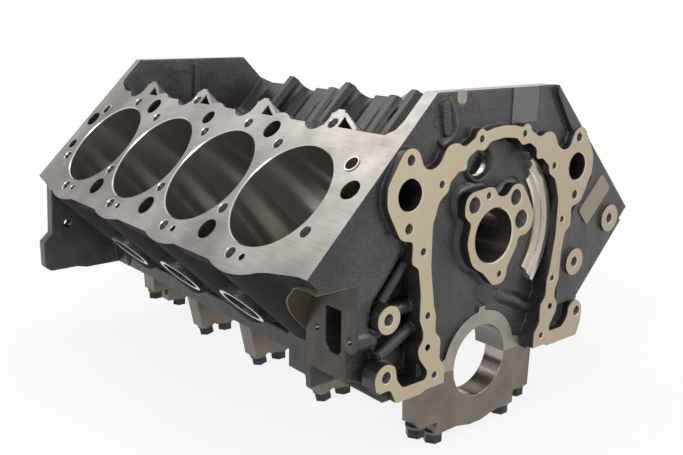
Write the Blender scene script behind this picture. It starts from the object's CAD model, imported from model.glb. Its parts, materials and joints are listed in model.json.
# %% [markdown]
# # A bare iron engine block
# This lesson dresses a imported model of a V-type engine block. The casting, its main caps and
# its bolts come from the frame as fixed solids. The lesson gives each of them a finish made of
# shader nodes, lays soft cast forms over the front, lines the tapped holes with threads, and
# sets up a plain studio.

# %% Load the frame
import json
import math

import bpy
import numpy as np
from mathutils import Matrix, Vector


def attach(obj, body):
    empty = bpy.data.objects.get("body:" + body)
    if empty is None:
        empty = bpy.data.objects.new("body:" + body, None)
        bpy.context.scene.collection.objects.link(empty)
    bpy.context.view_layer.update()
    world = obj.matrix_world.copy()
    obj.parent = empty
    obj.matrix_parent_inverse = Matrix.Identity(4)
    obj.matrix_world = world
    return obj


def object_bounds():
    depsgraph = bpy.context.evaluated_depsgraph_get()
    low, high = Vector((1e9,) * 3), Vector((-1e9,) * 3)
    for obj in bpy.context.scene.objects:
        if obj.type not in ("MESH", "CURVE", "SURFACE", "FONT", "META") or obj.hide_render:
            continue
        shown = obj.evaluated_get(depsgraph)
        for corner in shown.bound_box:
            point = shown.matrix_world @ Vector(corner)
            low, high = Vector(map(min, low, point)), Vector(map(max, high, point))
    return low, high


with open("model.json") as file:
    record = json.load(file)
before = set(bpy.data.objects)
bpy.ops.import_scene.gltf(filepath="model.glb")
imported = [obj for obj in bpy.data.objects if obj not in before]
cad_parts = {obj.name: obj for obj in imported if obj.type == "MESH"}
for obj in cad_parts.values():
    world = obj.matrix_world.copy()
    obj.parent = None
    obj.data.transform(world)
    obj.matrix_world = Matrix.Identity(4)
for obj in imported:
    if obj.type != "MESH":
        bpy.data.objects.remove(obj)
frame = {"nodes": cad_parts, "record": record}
cad_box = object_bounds()
MM = 0.001
print("nodes:", len(frame["nodes"]))

# %% [markdown]
# ## The sizes that the finishes need
# A finish on this casting follows its geometry: a milled face is a plane, a bore is a cylinder.
# The same few sizes that shaped the solids therefore tell the shader where the cutter has been.
# The drawing's zero plane is the timing-cover face, which lies 14.8 mm ahead of the origin.
# The far bank is the near one turned end for end, so a place on it is TURN_Y less the place on
# the near bank.

# %% Sizes of the casting in millimetres
FACE_Y = 14.8
S2 = math.sqrt(0.5)
DECK = 248.92
PITCH = 122.94
BORE_Y = [110.2 + k * PITCH for k in range(4)]
STAGGER = 10.0
TURN_Y = BORE_Y[0] + BORE_Y[3] - STAGGER
CYL_R = 57.15
CRANK_R = 37.31
CAM_R = 26.93
CAM_Z = 130.86
CAM_PAD_Y = 4.9
RAIL_Z = 270.0
PAN_Z = -2.5
LENGTH = 572.0
PUMP_PAD_X = -169.6
print("bores at", np.round(BORE_Y, 1), "and turned at", round(TURN_Y, 1))


def place(x, y, z):
    """Position in metres of a drawing point in millimetres, whose y starts at the cover face."""
    return np.array([x, y - FACE_Y, z]) * MM


# %% [markdown]
# ## Camera
# The photograph was taken from ahead of the block, left of it and a little above. The position
# and the lens were worked out from the known spacing of the bores, so the camera only has to
# be put there. Its three axes are written as the columns of its matrix.

# %% Camera
from mathutils import Matrix

CAM_POS = place(-604.874, -488.963, 334.839)
CAM_RIGHT = np.array([0.76838762, -0.63983802, 0.01370297])
CAM_UP = np.array([0.14964475, 0.20044527, 0.96820873])
CAM_BACK = np.cross(CAM_RIGHT, CAM_UP)


def stand(obj, right, up, back, position):
    """Puts a camera or lamp at position, with its own three axes along the given directions."""
    turn = Matrix([[*row, 0.0] for row in np.column_stack([right, up, back]).tolist()]
                  + [[0.0, 0.0, 0.0, 1.0]])
    bpy.context.collection.objects.link(obj)
    obj.matrix_world = Matrix.Translation(list(map(float, position))) @ turn


cam_data = bpy.data.cameras.new("camera")
cam_data.lens = 43.864
cam_data.sensor_width = 36.0
cam_data.sensor_fit = "HORIZONTAL"
cam_data.clip_start = 0.01
camera = bpy.data.objects.new("camera", cam_data)
stand(camera, CAM_RIGHT, CAM_UP, CAM_BACK, CAM_POS)
bpy.context.scene.camera = camera
print("camera at", np.round(CAM_POS, 3), "looking", np.round(-CAM_BACK, 3))

# %% [markdown]
# ## A shorthand for shader nodes
# A procedural finish is a small network of nodes. Written out, each link takes a line, so a few
# helpers keep the networks readable: each one makes a node and returns its output. The first
# ones link sockets and do sums.

# %% Sums with nodes
class Sums:
    """A material's node tree, with short methods for arithmetic on numbers and vectors."""

    def __init__(self, name):
        self.mat = bpy.data.materials.new(name)
        self.mat.use_nodes = True
        self.tree = self.mat.node_tree
        self.bsdf = self.tree.nodes["Principled BSDF"]
        self.object = self.tree.nodes.new("ShaderNodeTexCoord").outputs["Object"]
        self.facet = self.tree.nodes.new("ShaderNodeNewGeometry").outputs["True Normal"]

    def put(self, socket, value):
        """Links an output to the socket, or writes a plain number or colour into it."""
        if isinstance(value, bpy.types.NodeSocket):
            self.tree.links.new(value, socket)
        elif isinstance(value, (tuple, list)) and len(value) == 3 and socket.type == "RGBA":
            socket.default_value = (*value, 1.0)
        else:
            socket.default_value = value

    def math(self, kind, a, b=0.0, c=0.0):
        node = self.tree.nodes.new("ShaderNodeMath")
        node.operation = kind
        for socket, value in zip(node.inputs, (a, b, c)):
            self.put(socket, value)
        return node.outputs[0]

    def add(self, a, b):
        return self.math("ADD", a, b)

    def minus(self, a, b):
        return self.math("SUBTRACT", a, b)

    def times(self, a, b):
        return self.math("MULTIPLY", a, b)

    def reach(self, a, b):
        """Distance from an axis: the square root of a squared plus b squared."""
        return self.math("SQRT", self.add(self.times(a, a), self.times(b, b)))

    def vmath(self, kind, a, b):
        """A vector result; for SCALE, b is a number, and else a vector."""
        node = self.tree.nodes.new("ShaderNodeVectorMath")
        node.operation = kind
        self.put(node.inputs[0], a)
        self.put(node.inputs["Scale"] if kind == "SCALE" else node.inputs[1], b)
        return node.outputs["Vector"]

    def split(self, vector):
        node = self.tree.nodes.new("ShaderNodeSeparateXYZ")
        self.put(node.inputs[0], vector)
        return node.outputs[0], node.outputs[1], node.outputs[2]

    def join(self, x, y, z):
        node = self.tree.nodes.new("ShaderNodeCombineXYZ")
        for socket, value in zip(node.inputs, (x, y, z)):
            self.put(socket, value)
        return node.outputs[0]


# %% [markdown]
# The next helpers make what the eye sees: noise, blends, bumps and rounded edges. The Bevel
# node only shades an edge as if it were round, so it costs no faces.

# %% Patterns with nodes
class Patterns(Sums):
    """Adds noise, blends between values, and relief."""

    def noise(self, vector, scale, detail=3.0, rough=0.55):
        node = self.tree.nodes.new("ShaderNodeTexNoise")
        self.put(node.inputs["Vector"], vector)
        node.inputs["Scale"].default_value = scale
        node.inputs["Detail"].default_value = detail
        node.inputs["Roughness"].default_value = rough
        return node.outputs["Fac"]

    def fade(self, value, low, high, to_low=0.0, to_high=1.0, smooth=False):
        """Maps low..high onto to_low..to_high and stays at the ends outside it."""
        node = self.tree.nodes.new("ShaderNodeMapRange")
        if smooth:
            node.interpolation_type = "SMOOTHSTEP"
        for socket, number in zip(node.inputs, (value, low, high, to_low, to_high)):
            self.put(socket, number)
        return node.outputs[0]

    def mix(self, factor, a, b, kind="RGBA"):
        """Value a where factor is 0, value b where it is 1: a colour, a number or a vector."""
        node = self.tree.nodes.new("ShaderNodeMix")
        node.data_type = kind
        first = {"FLOAT": 2, "VECTOR": 4, "RGBA": 6}[kind]
        self.put(node.inputs[0], factor)
        self.put(node.inputs[first], a)
        self.put(node.inputs[first + 1], b)
        return node.outputs[{"FLOAT": 0, "VECTOR": 1, "RGBA": 2}[kind]]

    def bump(self, height, distance, strength=1.0, normal=None):
        node = self.tree.nodes.new("ShaderNodeBump")
        node.inputs["Distance"].default_value = distance
        node.inputs["Strength"].default_value = strength
        self.put(node.inputs["Height"], height)
        if normal is not None:
            self.put(node.inputs["Normal"], normal)
        return node.outputs[0]

    def round_edge(self, radius):
        node = self.tree.nodes.new("ShaderNodeBevel")
        node.samples = 6
        node.inputs["Radius"].default_value = radius
        return node.outputs[0]


# %% [markdown]
# The last helpers make masks. A mask is a number that is 1 on the wanted faces and 0 elsewhere,
# so two masks multiplied leave what both hold, and the larger of two holds what either does.

# %% Masks with nodes
ON_PLANE = 0.12


class Net(Patterns):
    """Adds masks, and the finished material."""

    def near(self, value, target, width=ON_PLANE):
        """1 where value is within width of target, else 0."""
        return self.math("COMPARE", value, target, width)

    def less(self, value, limit):
        return self.math("LESS_THAN", value, limit)

    def more(self, value, limit):
        return self.math("GREATER_THAN", value, limit)

    def both(self, *masks):
        """1 where every mask is 1."""
        out = masks[0]
        for m in masks[1:]:
            out = self.times(out, m)
        return out

    def between(self, value, low, high):
        """1 where value is more than low and less than high, else 0."""
        return self.both(self.more(value, low), self.less(value, high))

    def either(self, *masks):
        """1 where any mask is 1."""
        out = masks[0]
        for m in masks[1:]:
            out = self.math("MAXIMUM", out, m)
        return out

    def finish(self, **sockets):
        """Writes or links the named sockets of the surface shader and returns the material."""
        for name, value in sockets.items():
            self.put(self.bsdf.inputs[name.replace("_", " ")], value)
        return self.mat


# %% [markdown]
# ## Where the cutter has been
# One casting shows several finishes: sand-cast skin, milled faces, honed bores, bright
# countersinks. The shader measures each point in the drawing's own axes, and the direction in
# which its facet looks. A milled face is then a plane with the right facing, and a bore is a
# distance from an axis. Both banks share one set of axes: v runs over the head face towards the
# valley, w out of the bores, and u along the bank.

# %% The drawing's axes
iron = Net("block_iron")
x, y, z = iron.split(iron.vmath("SCALE", iron.object, 1.0 / MM))
y = iron.add(y, FACE_Y)
nx, ny, nz = iron.split(iron.facet)
sideways = iron.math("ABSOLUTE", x)
w = iron.times(iron.add(sideways, z), S2)
v = iron.times(iron.minus(z, sideways), S2)
u = iron.add(y, iron.times(iron.more(x, 0.0), STAGGER))
bank_side = iron.math("SIGN", x)
n_out = iron.times(nx, bank_side)
nw = iron.times(iron.add(n_out, nz), S2)
nv = iron.times(iron.minus(nz, n_out), S2)
cam_reach = iron.reach(x, iron.minus(z, CAM_Z))
crank_reach = iron.reach(x, z)

# %% [markdown]
# The faces that look forward come first. The cover flange and the bosses beside it are one
# plane. The camshaft pad, the machined pad and strip beside it, the rings of the timing chest
# and the web of main bearing 1 step back from that plane, each by its own depth.

# %% Faces that look forward
FACING = 0.99
SMALL_PAD_Y, STRIP_Y, WEB_Y, WEB_TOP = 1.7, 7.3, 14.8, 70.0
RINGS_R, RINGS_HALF, RINGS_X, RINGS_FRONT, RINGS_BACK = 81.0, 9.3, 40.0, 8.3, 17.4
ahead = iron.less(ny, -FACING)
flange_mask = iron.both(ahead, iron.less(y, ON_PLANE))
small_pad_mask = iron.both(ahead, iron.near(y, SMALL_PAD_Y))
cam_pad_mask = iron.both(ahead, iron.near(y, CAM_PAD_Y))
web_mask = iron.both(ahead, iron.near(y, WEB_Y), iron.less(z, WEB_TOP))
strip_mask = iron.both(ahead, iron.near(y, STRIP_Y))
ring_mask = iron.both(iron.near(cam_reach, RINGS_R, RINGS_HALF), iron.more(x, RINGS_X),
                      iron.between(y, RINGS_FRONT, RINGS_BACK))
print("forward faces step back by", SMALL_PAD_Y, CAM_PAD_Y, STRIP_Y, WEB_Y, "mm")

# %% [markdown]
# The other milled faces look out of the banks, up, down, back and to the side. The fuel pump
# pad was milled by a round cutter, which left an arched wall over the pad.

# %% Faces that look other ways
PUMP_Y, PUMP_Z, CUTTER_R, CUTTER_SKIN = 20.0, 55.0, 60.0, 0.4
LOW_TOP, LOW_BACK = 118.0, 126.0
deck_mask = iron.both(iron.more(nw, FACING), iron.more(w, DECK - ON_PLANE))
plain_mask = iron.either(iron.both(iron.more(nz, FACING), iron.more(z, RAIL_Z - ON_PLANE)),
                         iron.both(iron.less(nz, -FACING), iron.less(z, PAN_Z + ON_PLANE)),
                         iron.both(iron.more(ny, FACING), iron.more(y, LENGTH - ON_PLANE)))
low_side = iron.both(iron.less(z, LOW_TOP), iron.less(y, LOW_BACK))
pump_mask = iron.both(iron.less(nx, -FACING), iron.near(x, PUMP_PAD_X), low_side)
cutter = iron.reach(iron.minus(y, PUMP_Y), iron.minus(z, PUMP_Z))
swept_mask = iron.both(iron.near(cutter, CUTTER_R, CUTTER_SKIN), low_side,
                       iron.less(x, 0.1 + PUMP_PAD_X))
print("head faces", DECK, "mm from the crankshaft, rails at", RAIL_Z, "and", PAN_Z)

# %% [markdown]
# Bores are distances from their axes. The cylinders repeat at one pitch, so the place along the
# bank is wrapped into a single cell first.

# %% Bores
BORE_FOOT, BORE_FRONT, CYL_SKIN, TUNNEL_SKIN = 86.0, 30.0, 0.35, 0.3
cell = iron.math("WRAP", iron.minus(u, BORE_Y[0] - PITCH / 2), PITCH, 0.0)
du = iron.minus(cell, PITCH / 2)
cylinder_mask = iron.both(iron.near(iron.reach(v, du), CYL_R, CYL_SKIN),
                          iron.near(nw, 0.0, 0.05), iron.more(w, BORE_FOOT),
                          iron.more(y, BORE_FRONT))
main_bore_mask = iron.less(crank_reach, CRANK_R + TUNNEL_SKIN)
cam_bore_mask = iron.less(cam_reach, CAM_R + TUNNEL_SKIN)
walls = iron.either(cylinder_mask, main_bore_mask, cam_bore_mask)
print("bore radii:", CYL_R, CRANK_R, CAM_R)

# %% [markdown]
# Countersinks are the narrow cones at the mouth of each hole, which are told by the slant of
# their facets. A few small cuts are as bright: the notch of the top rail, the spots on the
# valley side of the banks, the core plugs' seats and the breather hole.

# %% Countersinks and small bright spots
SLANT, UPRIGHT, DECK_SINK, FRONT_SINK = 0.07, 0.1, 1.3, 1.4
NOTCH_X, NOTCH_HALF, NOTCH_FOOT, NOTCH_BACK = -51.0, 6.4, 256.0, 14.5
SPOT_V, SPOT_W, SPOT_HALF, CORE_V = 79.0, 213.0, 11.2, -90.0
BREATHER_X, BREATHER_Z, BREATHER_R, BREATHER_END = -16.0, 202.0, 13.5, 41.0
slant_deck = iron.both(iron.near(nw, S2, SLANT), iron.more(w, DECK - DECK_SINK))
slant_front = iron.both(iron.near(ny, -S2, SLANT), iron.less(y, CAM_PAD_Y + FRONT_SINK))
notch_side = iron.both(iron.less(y, NOTCH_BACK + 0.5), iron.near(ny, 0.0, UPRIGHT))
notch_back = iron.both(ahead, iron.near(y, NOTCH_BACK))
notch_mask = iron.both(iron.near(x, NOTCH_X, NOTCH_HALF), iron.either(notch_side, notch_back),
                       iron.between(z, NOTCH_FOOT, RAIL_Z - ON_PLANE))
spot_mask = iron.both(iron.more(nv, FACING), iron.near(v, SPOT_V),
                      iron.near(w, SPOT_W, SPOT_HALF))
core_mask = iron.both(iron.less(nv, -FACING), iron.near(v, CORE_V))
breather = iron.reach(iron.minus(x, BREATHER_X), iron.minus(z, BREATHER_Z))
breather_mask = iron.both(iron.near(breather, BREATHER_R, TUNNEL_SKIN),
                          iron.less(y, BREATHER_END), iron.near(ny, 0.0, UPRIGHT))
bright_mask = iron.either(slant_deck, slant_front, notch_mask, spot_mask, core_mask,
                          breather_mask)
print("masks made:", len(iron.tree.nodes), "nodes")

# %% [markdown]
# ## Colours of the iron
# The skin of a sand casting is charcoal, with the grain of the sand and a few brighter specks.
# The faces that look forward catch more light in the photograph, and the ones that look down
# are dull, so the tone follows the facing.

# %% The skin of the casting
SAND_DARK, SAND_LIGHT = (0.010, 0.010, 0.0095), (0.038, 0.036, 0.035)
FORWARD_GAIN, DOWNWARD_GAIN = 1.9, 0.45
CAST_METALLIC = 0.1


def cast_skin(net):
    """Colour, relief and roughness of sand-cast iron, as three outputs of the net."""
    _, face_y, face_z = net.split(net.facet)
    sand = net.noise(net.object, 700.0, 4.0, 0.6)
    drift = net.noise(net.object, 22.0, 3.0)
    tone = net.mix(net.fade(net.add(sand, net.times(drift, 0.8)), 0.72, 1.18),
                   SAND_DARK, SAND_LIGHT)
    shade = net.times(net.fade(face_y, -0.95, -0.7, FORWARD_GAIN, 1.0),
                      net.fade(face_z, -0.85, -0.2, DOWNWARD_GAIN, 1.0))
    waves = net.noise(net.object, 45.0, 2.0, 0.5)
    moulded = net.bump(waves, 0.0022, 0.4, net.round_edge(0.0034))
    gloss = net.fade(sand, 0.3, 0.7, 0.20, 0.38)
    rough = net.mix(net.fade(face_z, -0.6, -0.1), 0.85, gloss, "FLOAT")
    return net.vmath("SCALE", tone, shade), net.bump(sand, 0.0005, 0.5, moulded), rough


skin, pebbled, skin_rough = cast_skin(iron)
print("cast skin made:", len(iron.tree.nodes), "nodes")

# %% [markdown]
# Fresh-milled iron is warm: golden on the timing face, silver with a mauve cast on the head
# faces, and brown on the pump pad. Slow noise makes each tone drift between two colours, and
# on the head faces fine noise stretched along the cutter's path brushes it.

# %% Milled tones
GOLD = (0.50, 0.435, 0.30), (0.40, 0.335, 0.25)
SILVER = (0.185, 0.168, 0.158), (0.40, 0.372, 0.345)
BROWN = (0.062, 0.055, 0.050), (0.10, 0.090, 0.080)
WEB = (0.27, 0.245, 0.205), (0.36, 0.33, 0.28)
PLAIN = (0.36, 0.335, 0.30), (0.50, 0.47, 0.43)
stain = iron.noise(iron.object, 60.0, 4.0, 0.6)
stained = iron.fade(stain, 0.32, 0.7)
warm = iron.fade(iron.add(x, iron.times(iron.minus(stain, 0.5), 160.0)), -150.0, 190.0)
brushed = iron.noise(iron.join(iron.times(v, 1.1), iron.times(iron.add(u, v), 0.025), 0.0),
                     1.0, 3.0)
patches = iron.add(iron.times(iron.noise(iron.object, 9.0, 3.0), 0.75),
                   iron.times(brushed, 0.25))

# %% [markdown]
# The tones are laid over each other like coats, from the skin up. A later coat hides an earlier
# one where their masks meet.

# %% Coats of the iron
coats = [
    (iron.either(flange_mask, cam_pad_mask), iron.mix(warm, *GOLD)),
    (swept_mask, (0.27, 0.228, 0.165)),
    (pump_mask, iron.mix(stained, *BROWN)),
    (web_mask, iron.mix(stained, *WEB)),
    (strip_mask, (0.14, 0.137, 0.133)),
    (small_pad_mask, (0.26, 0.23, 0.18)),
    (plain_mask, iron.mix(stained, *PLAIN)),
    (deck_mask, iron.mix(iron.fade(patches, 0.38, 0.64), *SILVER)),
    (cam_bore_mask, (0.33, 0.305, 0.28)),
    (main_bore_mask, (0.17, 0.158, 0.147)),
    (cylinder_mask, (0.46, 0.43, 0.40)),
    (bright_mask, (0.60, 0.56, 0.50)),
    (ring_mask, (0.68, 0.64, 0.58)),
]
colour = skin
for mask, tone in coats:
    colour = iron.mix(mask, colour, tone)
machined = iron.either(*[mask for mask, tone in coats])
print("coats:", len(coats))

# %% [markdown]
# ## Relief of the iron
# The skin is pebbled, wavy from the pattern, and its edges are rounded by the mould, which the
# Bevel node shades without touching the mesh. A honed or bored wall carries fine scratches that
# run round it. They spread a highlight along the bore, so the gloss is stretched along the
# bore's own axis: the way out of the bank for a cylinder, and Y for the two tunnels.

# %% Relief, lay and gloss
slanted = iron.add(u, iron.times(v, 0.6))
lay = iron.noise(iron.join(iron.times(v, 0.9), iron.times(slanted, 0.02), 0.0), 1.3, 3.0)
hone = iron.noise(iron.join(iron.times(w, 1.6), iron.times(du, 0.05), iron.times(v, 0.05)),
                  1.0, 2.0)
milled = iron.bump(iron.mix(cylinder_mask, lay, hone, "FLOAT"), 0.00003, 1.0)
relief = iron.mix(machined, pebbled, milled, "VECTOR")

out_of_bank = iron.join(iron.times(bank_side, S2), 0.0, S2)
axis = iron.mix(cylinder_mask, (0.0, 1.0, 0.0), out_of_bank, "VECTOR")

rough = iron.fade(stain, 0.3, 0.7, 0.30, 0.42)
rough = iron.mix(iron.either(ring_mask, bright_mask), rough, 0.22, "FLOAT")
rough = iron.mix(walls, rough, 0.20, "FLOAT")
rough = iron.mix(machined, skin_rough, rough, "FLOAT")
iron.finish(Base_Color=colour, Roughness=rough, Normal=relief,
            Metallic=iron.mix(machined, CAST_METALLIC, 0.92, "FLOAT"),
            Specular_IOR_Level=iron.fade(nz, -0.85, -0.2, 0.15, 0.5),
            Anisotropic=iron.times(walls, 0.85), Tangent=axis)
print("iron nodes:", len(iron.tree.nodes))

# %% [markdown]
# ## Steel of the caps, bolts, washers and dowels
# The caps are milled from steel bar and have darkened a little. The bolts carry a black oxide,
# and the washers and dowels are plain ground steel.

# %% Plain steels
def steel(name, low, high, roughness):
    """A steel whose colour drifts between two tones, with a fine milled bump."""
    net = Net(name)
    tone = net.noise(net.object, 60.0, 4.0, 0.6)
    lay = net.noise(net.vmath("MULTIPLY", net.object, (1.0, 1.0, 14.0)), 160.0, 2.0)
    ripple = net.bump(lay, 0.00004, 0.4, net.round_edge(0.0005))
    return net.finish(Base_Color=net.mix(net.fade(tone, 0.35, 0.65), low, high), Metallic=0.9,
                      Roughness=net.fade(tone, 0.3, 0.7, roughness - 0.05, roughness + 0.07),
                      Normal=ripple)


# %% Steel of the main caps
CAP_DARK, CAP_LIGHT, CAP_BORE = (0.15, 0.125, 0.105), (0.22, 0.19, 0.16), (0.50, 0.46, 0.41)


def cap_finish():
    """Milled steel that is brown on its faces and freshly bored where the crankshaft runs."""
    net = Net("cap_steel")
    px, _, pz = net.split(net.vmath("SCALE", net.object, 1.0 / MM))
    bored = net.less(net.reach(px, pz), CRANK_R + TUNNEL_SKIN)
    tone = net.noise(net.object, 30.0, 5.0, 0.6)
    cuts = net.noise(net.join(net.times(px, 0.05), 0.0, net.times(pz, 1.2)), 1.0, 2.0)
    face = net.mix(net.fade(tone, 0.3, 0.7), CAP_DARK, CAP_LIGHT)
    ripple = net.bump(cuts, 0.00003, 0.8, net.round_edge(0.0005))
    rough = net.mix(bored, net.fade(tone, 0.3, 0.7, 0.33, 0.45), 0.26, "FLOAT")
    return net.finish(Base_Color=net.mix(bored, face, CAP_BORE), Metallic=0.92, Normal=ripple,
                      Roughness=rough, Anisotropic=net.times(bored, 0.8),
                      Tangent=net.join(0.0, 1.0, 0.0))


# %% Finishes onto the solids
finishes = {
    "cap_steel": cap_finish(),
    "bolt_steel": steel("bolt_steel", (0.03, 0.03, 0.032), (0.06, 0.06, 0.062), 0.4),
    "washer_steel": steel("washer_steel", (0.10, 0.10, 0.10), (0.16, 0.155, 0.15), 0.4),
    "dowel_steel": steel("dowel_steel", (0.45, 0.45, 0.46), (0.6, 0.6, 0.6), 0.3),
    "block_iron": iron.mat,
}
slots = {s["node"]: s["material_slot"] for s in frame["record"]["subparts"]}
for name, obj in frame["nodes"].items():
    for slot in obj.material_slots:
        slot.material = finishes[slots[name]]
    print(name, "->", slots[name])

# %% [markdown]
# ## Soft forms of the casting
# A sand casting flows from one form into the next. The solids have the firm shapes, and low
# ridges add the soft ones at the front. A ridge is a path on a flat wall with a smooth hump
# across it. It is closed at its sides, ends and back, and its edge and back lie inside the
# metal, so that only the hump shows.

# %% One soft ridge
EDGE_SINK, BACK_SINK = 0.5, 1.2


def spread(values, count):
    """A column of count numbers that follow the given values at even steps, in straight lines."""
    steps = np.linspace(0, 1, len(values))
    return np.interp(np.linspace(0, 1, count), steps, values)[:, None]


def ridge(path, half_widths, heights, wall_y, closed=False, across=13):
    """Points and faces of a low closed swell along a path of (x, z) on the plane wall_y.

    Across the path the height is the crest height times the square of one minus the squared
    share of the half width. The edge and the flat back lie inside the metal.
    """
    path = np.array(path, float)
    heading = np.roll(path, -1, axis=0) - np.roll(path, 1, axis=0)
    if not closed:
        heading[0], heading[-1] = path[1] - path[0], path[-1] - path[-2]
    heading /= np.linalg.norm(heading, axis=1)[:, None]
    beside = np.column_stack([-heading[:, 1], heading[:, 0]])
    n = len(path)
    share = np.linspace(-1, 1, across)[None, :]
    offset = (spread(half_widths, n) * share)[..., None] * beside[:, None, :]
    flat = path[:, None, :] + offset
    top_y = wall_y + EDGE_SINK - spread(heights, n) * (1 - share ** 2) ** 2
    top = np.stack([flat[..., 0], top_y, flat[..., 1]], axis=-1)
    under = top.copy()
    under[..., 1] = wall_y + BACK_SINK
    points = np.concatenate([top.reshape(-1, 3), under.reshape(-1, 3)])

    index = np.arange(n * across).reshape(n, across)
    here = np.arange(n if closed else n - 1)
    there = (here + 1) % n
    quads = [np.stack([index[here][:, 1:], index[here][:, :-1],
                       index[there][:, :-1], index[there][:, 1:]], axis=-1)]
    quads.append(quads[0][..., ::-1] + n * across)
    rims = [(index[here, 0], index[there, 0], 1), (index[here, -1], index[there, -1], -1)]
    if not closed:
        rims += [(index[0, :-1], index[0, 1:], -1), (index[-1, :-1], index[-1, 1:], 1)]
    for a, b, order in rims:
        quads.append(np.stack([b, a, a + n * across, b + n * across][::order], axis=-1)[:, None])
    return points, np.concatenate([q.reshape(-1, 4) for q in quads])


# %% Paths for ridges
def smooth_path(points, count, closed=False):
    """A curve of count points through the given ones.

    Between two given points it is a cubic whose slope at each of them is half the step from
    the point before it to the point after it.
    """
    p = np.array(points, float)
    if closed:
        q = np.vstack([p[-1], p, p[0], p[1]])
    else:
        q = np.vstack([2 * p[0] - p[1], p, 2 * p[-1] - p[-2]])
    t = np.linspace(0, len(q) - 3, count, endpoint=not closed)
    k = np.minimum(t.astype(int), len(q) - 4)
    f = (t - k)[:, None]
    a, b, c, d = q[k], q[k + 1], q[k + 2], q[k + 3]
    cube = 3 * (b - c) + d - a
    return b + 0.5 * f * (c - a + f * (2 * a - 5 * b + 4 * c - d + f * cube))


def ring_path(cx, cz, radius, count=48):
    """A circle: the centre plus the radius times the cosine and the sine of the angle."""
    angle = np.arange(count) * math.tau / count
    return np.column_stack([cx + radius * np.cos(angle), cz + radius * np.sin(angle)])


# %% [markdown]
# Both new pieces, the ridges and later the threads, are many closed shapes in one mesh. Each
# shape counts its points from zero, so its faces are moved up by the points before it.

# %% Many shapes, one mesh
def add_object(name, points, faces):
    """A new object at the origin with the given mesh, its points in metres."""
    mesh = bpy.data.meshes.new(name)
    mesh.from_pydata(points.tolist(), [], faces.tolist())
    obj = bpy.data.objects.new(name, mesh)
    bpy.context.collection.objects.link(obj)
    return obj


def add_shapes(name, shapes, material):
    """One smooth object from closed shapes, each given as points in drawing mm and faces."""
    before = np.cumsum([0] + [len(points) for points, faces in shapes])
    points = (np.concatenate([points for points, faces in shapes]) - [0.0, FACE_Y, 0.0]) * MM
    faces = np.concatenate([faces + start for (_, faces), start in zip(shapes, before)])
    obj = add_object(name, points, faces)
    obj.data.polygons.foreach_set("use_smooth", np.ones(len(faces), dtype=bool))
    obj.data.materials.append(material)
    print(name + ":", len(shapes), "shapes,", len(faces), "faces")
    return obj


# %% [markdown]
# There are six ridges: the rib below the camshaft pad, the swell beside main bearing 1, the
# lip of the breather hole, the foot of the camshaft pad, the crease of the upper wall and a
# small cast ring mark. The first four lie on the chest's back wall, the others on the wall
# above the flange.

# %% All soft ridges
CHEST_Y, WALL_Y = 17.5, 8.5
pad_rib = [(9, 90), (8, 78), (3, 68), (-2, 60)]
bearing_swell = [(8, 72), (30, 61), (52, 52), (66, 44), (80, 40)]
pad_foot = [(-43, 164), (-40, 176), (-12, 179), (3, 169), (15, 169), (37, 177), (47, 164),
            (57, 146), (56, 131), (38, 124), (22, 97), (18, 81), (3, 81), (-13, 96), (-30, 106),
            (-38, 128), (-34, 147)]
wall_crease = [(-68, 267), (-63, 257), (-60, 247), (-60, 238), (-65, 230), (-77, 223)]
swells = [
    ridge(smooth_path(pad_rib, 26), (13, 16, 24, 28), (6.5, 5.0, 2.5, 0.3), CHEST_Y),
    ridge(smooth_path(bearing_swell, 30), (5, 9, 10, 9, 10), (0.3, 4.0, 6.5, 7.0, 5.0),
          CHEST_Y),
    ridge(ring_path(BREATHER_X, BREATHER_Z, 17.5), (4.4,), (4.2,), CHEST_Y, closed=True),
    ridge(smooth_path(pad_foot, 120, closed=True), (8.0,), (4.2,), CHEST_Y, closed=True),
    ridge(smooth_path(wall_crease, 30), (5, 5, 7, 8, 9), (0.8, 3.0, 5.0, 5.0, 4.5), WALL_Y),
    ridge(ring_path(-80.5, 245, 5.4), (0.9,), (1.1,), WALL_Y, closed=True),
]
soft = Net("cast_skin")
soft_tone, soft_relief, soft_rough = cast_skin(soft)
cast = add_shapes("cast_swells", swells,
                  soft.finish(Base_Color=soft_tone, Normal=soft_relief, Roughness=soft_rough,
                              Metallic=CAST_METALLIC))
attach(cast, "root")

# %% [markdown]
# ## Threads of the tapped holes
# The solids have plain holes. Each tapped hole gets a thin tube whose inner wall is a screw
# thread. A thread is a wave that climbs as it turns: its height depends on the distance along
# the axis, counted in pitches, less the angle, counted in turns.

# %% One thread as a closed tube
THREAD_DEPTH = 0.28
HOLE_GAP, WALL_SINK = 0.02, 0.2


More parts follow.
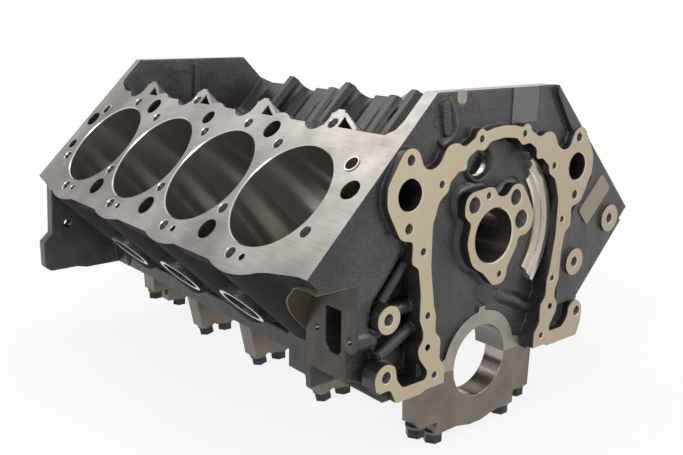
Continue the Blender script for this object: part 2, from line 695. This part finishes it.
def thread_tube(start, inward, radius, pitch, depth, columns=24, per_turn=5):
    """Points and faces of a closed tube that lines a hole, with a thread as its inner wall.

    Inner radius: the middle radius plus half the thread's height times the cosine of one turn
    per pitch along the axis less the angle round it. The outer wall is a plain cylinder that
    lies just inside the metal.
    """
    axis = np.array(inward, float) / np.linalg.norm(inward)
    first = np.cross(axis, [0.0, 0.3, 1.0] if abs(axis[2]) < 0.9 else [1.0, 0.0, 0.0])
    first /= np.linalg.norm(first)
    second = np.cross(axis, first)
    rows = int(round(depth / pitch * per_turn)) + 1
    along = np.linspace(0.0, depth, rows)[:, None]
    angle = np.arange(columns)[None, :] * math.tau / columns
    half = THREAD_DEPTH * pitch
    inner = radius - HOLE_GAP - half + half * np.cos(math.tau * along / pitch - angle)
    reach = np.vstack([inner, np.full((2, columns), radius + WALL_SINK)])
    along = np.vstack([along, [[0.0], [depth]]])
    wheel = np.cos(angle)[..., None] * first + np.sin(angle)[..., None] * second
    points = np.array(start, float) + along[..., None] * axis + reach[..., None] * wheel

    index = np.arange((rows + 2) * columns).reshape(rows + 2, columns)
    beside = np.roll(index, -1, axis=1)
    quads = [np.stack([index[:rows - 1], index[1:rows],
                       beside[1:rows], beside[:rows - 1]], axis=-1)]
    for a, b in ((0, rows), (rows, rows + 1), (rows + 1, rows - 1)):
        quads.append(np.stack([index[a], beside[a], beside[b], index[b]], axis=-1)[None])
    return points.reshape(-1, 3), np.concatenate([q.reshape(-1, 4) for q in quads])


# %% [markdown]
# The front holes come first, in sizes that go together: the holes of the timing cover, the
# water pump, the front mounts, and the two kinds on the camshaft pad. A thread starts one
# millimetre inside its hole, below the countersink.

# %% Tapped holes of the front
COVER = dict(radius=3.3, pitch=1.2, depth=9.0)
PUMP = dict(radius=4.6, pitch=1.6, depth=14.0)
MOUNT = dict(radius=5.4, pitch=1.7, depth=15.0)
cover_holes = ((80.2, 191.1), (30.5, 226.9), (100.2, 133.4), (91.3, 71.9), (79.6, 11.3))
pump_holes = ((118.8, 216.2), (118.8, 156.8))
mount_holes = ((-139.5, 79), (128, 83), (187, 122), (-140.2, 25.3), (140.2, 25.3))
gallery_holes = ((-30, 164.6, 7.8), (29.6, 164.7, 7.8), (39.6, 141.5, 9.2))
retainer_holes = ((-10.6, 171.3), (11.3, 90.6))


def front_tube(hx, hz, face_y=0.0, **size):
    """A thread that runs straight back from the hole (hx, hz) in the plane face_y."""
    return thread_tube((hx, face_y + 1.0, hz), (0, 1, 0), **size)


tubes = [front_tube(side * hx, hz, **COVER) for side in (-1, 1) for hx, hz in cover_holes]
tubes += [front_tube(side * hx, hz, **PUMP) for side in (-1, 1) for hx, hz in pump_holes]
tubes += [front_tube(hx, hz, **MOUNT) for hx, hz in mount_holes]
tubes += [front_tube(hx, hz, CAM_PAD_Y, radius=r, pitch=1.6, depth=13.0)
          for hx, hz, r in gallery_holes]
tubes += [front_tube(hx, hz, CAM_PAD_Y, **COVER) for hx, hz in retainer_holes]
print("front threads:", len(tubes))

# %% [markdown]
# The holes of the head faces are given in bank axes, as the place along the near bank and the
# place across it. On the far bank they are turned end for end.

# %% Tapped holes of the head faces
def at_half(m, d=0.0):
    """Place along the near bank: the first bore's centre, plus m half pitches, plus d."""
    return BORE_Y[0] + m * PITCH / 2 + d


head_holes = [(at_half(-1, -1.1), -26.8), *[(at_half(m, 0.9), -30.4) for m in (1, 3, 5)],
              (at_half(7, 1.9), -30.8), (at_half(1, -8.5), 51.2), (at_half(3), 46.4),
              (at_half(5, -7.5), 51.2), (at_half(2, -1.9), 67.6), (at_half(6, -0.6), 67.4),
              *[(at_half(m, 8.5), -68.2) for m in (0, 2, 4, 6)],
              *[(at_half(m, -1.4), 84.8) for m in (0, 4)]]


def head_tube(side, along, across):
    """A thread that runs into a bank from one millimetre below its head face."""
    level = DECK - 1.0
    start = (side * S2 * (level - across), along if side < 0 else TURN_Y - along,
             S2 * (across + level))
    return thread_tube(start, (-side * S2, 0, -S2), radius=5.8, pitch=1.7, depth=15.0)


print("holes in one head face:", len(head_holes))


# %% [markdown]
# The rest lie in plain planes: the bell housing's holes in the rear face, the pan's holes along
# both rails, and the two holes of the fuel pump pad.

# %% Tapped holes of the other faces
bell_holes = ((79, 226, 11), (199, 62, 14), (213, 14, 11))
PAN_X, PAN_FIRST, PAN_STEP, PAN_COUNT = 122, 40, 45, 12
for side in (-1, 1):
    tubes += [head_tube(side, along, across) for along, across in head_holes]
    tubes += [thread_tube((side * hx, LENGTH - 0.5, hz), (0, -1, 0), 5.2, 1.6, deep)
              for hx, hz, deep in bell_holes]
    tubes += [thread_tube((side * PAN_X, PAN_FIRST + PAN_STEP * k, PAN_Z + 0.5), (0, 0, 1),
                          3.4, 1.25, 8.0, columns=16, per_turn=4) for k in range(PAN_COUNT)]
tubes += [thread_tube((PUMP_PAD_X + 0.5, hy, 61.8), (1, 0, 0), 4.0, 1.4, 10.0)
          for hy in (63.0, 17.8)]

cut = Net("thread_iron")
threads = add_shapes("tapped_threads", tubes,
                     cut.finish(Base_Color=(0.10, 0.093, 0.086), Metallic=0.9, Roughness=0.22))
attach(threads, "root")

# %% [markdown]
# ## Studio
# The photograph shows the block cut out on white. A large white floor that the camera sees as
# nearly white gives the same look and still takes the object's shadow. The world beyond it is
# plain white to the camera and in reflections, and dimmer where it only lights the object.

# %% Seen as white
def plainly_seen(tree):
    """1 for rays from the camera, from a gloss or through glass, which should meet plain white."""
    path = tree.nodes.new("ShaderNodeLightPath")
    out = path.outputs["Is Camera Ray"]
    for name in ("Is Glossy Ray", "Is Transmission Ray"):
        node = tree.nodes.new("ShaderNodeMath")
        node.operation = "MAXIMUM"
        tree.links.new(out, node.inputs[0])
        tree.links.new(path.outputs[name], node.inputs[1])
        out = node.outputs[0]
    return out


# %% Floor
FLOOR_HALF, FLOOR_GAP = 4.0, 0.0005
SHADOW_Y, SHADOW_NEAR, SHADOW_FAR, SHADOW_SHARE = 0.28, 0.45, 1.3, 0.86
corners = np.array([[-1, -1, 0], [1, -1, 0], [1, 1, 0], [-1, 1, 0]]) * FLOOR_HALF
floor = add_object("floor", corners + [0, 0, cad_box[0][2] - FLOOR_GAP],
                   np.array([[0, 1, 2, 3]]))
ground = Net("studio_white")
gx, gy, _ = ground.split(ground.object)
away = ground.fade(ground.reach(gx, ground.minus(gy, SHADOW_Y)), SHADOW_NEAR, SHADOW_FAR,
                   SHADOW_SHARE, 1.0, smooth=True)
glow = ground.tree.nodes.new("ShaderNodeEmission")
blend = ground.tree.nodes.new("ShaderNodeMixShader")
ground.put(blend.inputs[0], ground.times(plainly_seen(ground.tree), away))
ground.put(blend.inputs[1], ground.bsdf.outputs[0])
ground.put(blend.inputs[2], glow.outputs[0])
ground.put(ground.tree.nodes["Material Output"].inputs["Surface"], blend.outputs[0])
floor.data.materials.append(ground.finish(Base_Color=(0.93, 0.93, 0.93), Roughness=0.9))
print("floor at", round(float(cad_box[0][2]) - FLOOR_GAP, 4))

# %% World
WORLD_LIGHT = 0.45
world = bpy.data.worlds.new("studio")
bpy.context.scene.world = world
world.use_nodes = True
back = world.node_tree.nodes["Background"]
level = world.node_tree.nodes.new("ShaderNodeMapRange")
world.node_tree.links.new(plainly_seen(world.node_tree), level.inputs[0])
level.inputs["To Min"].default_value = WORLD_LIGHT
level.inputs["To Max"].default_value = 1.0
world.node_tree.links.new(level.outputs[0], back.inputs["Strength"])
back.inputs["Color"].default_value = (1, 1, 1, 1)
print("world light:", WORLD_LIGHT)

# %% [markdown]
# Three large soft lamps light the block. The one behind and above is mirrored by the head face
# and leaves its rear half darker. The other two come from the front left and the right.

# %% Lamps
def lamp(name, position, target, width, power):
    """A square soft lamp at position that looks at target."""
    data = bpy.data.lights.new(name, "AREA")
    data.shape = "SQUARE"
    data.size = width
    data.energy = power
    obj = bpy.data.objects.new(name, data)
    position, target = np.array(position), np.array(target)
    back_axis = (position - target) / np.linalg.norm(position - target)
    side_axis = np.cross([0, 0, 1.0], back_axis)
    side_axis /= np.linalg.norm(side_axis)
    stand(obj, side_axis, np.cross(back_axis, side_axis), back_axis, position)


MIDDLE = (0.0, 0.27, 0.1)
lamp("behind", (-0.25, 1.1, 1.35), MIDDLE, 0.8, 5)
lamp("left", (-1.5, -0.3, 1.1), MIDDLE, 0.7, 12)
lamp("front", (0.9, -1.4, 0.9), MIDDLE, 0.8, 12)
print("lamps:", len(bpy.data.lights))

bpy.context.scene.view_settings.view_transform = "Standard"
